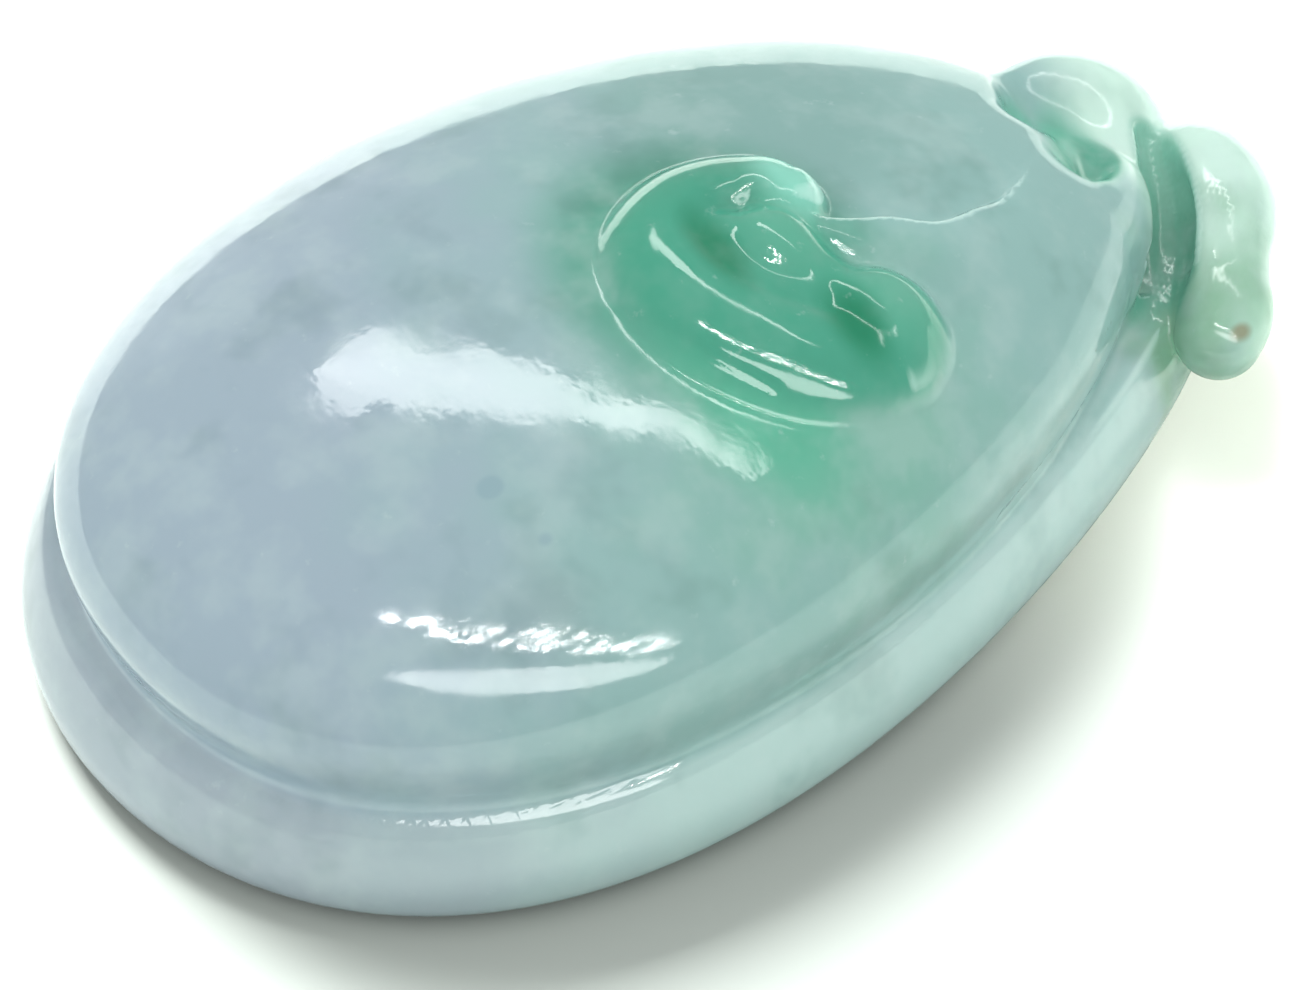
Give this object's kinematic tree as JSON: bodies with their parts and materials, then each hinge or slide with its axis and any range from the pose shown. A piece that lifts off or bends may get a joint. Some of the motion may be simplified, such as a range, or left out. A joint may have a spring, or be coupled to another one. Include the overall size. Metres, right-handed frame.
{
  "type": "jadeite peach pendant",
  "caption": "Carved jadeite pendant: a plump peach on a leaf layer, with a ruyi head and stem in relief, two rolled leaves and a cord hole at the narrow end.",
  "frame": {"origin": "middle of the flat back, under the centre of the stone's box", "axes": "+Y along the pendant towards the cord end, +Z out of the carved front, +X to its right"},
  "size_m": [0.0244, 0.039, 0.0118],
  "materials": {
    "jadeite": "polished"
  },
  "bodies": {
    "root": {"jadeite_pendant": "jadeite"}
  },
  "joints": []
}
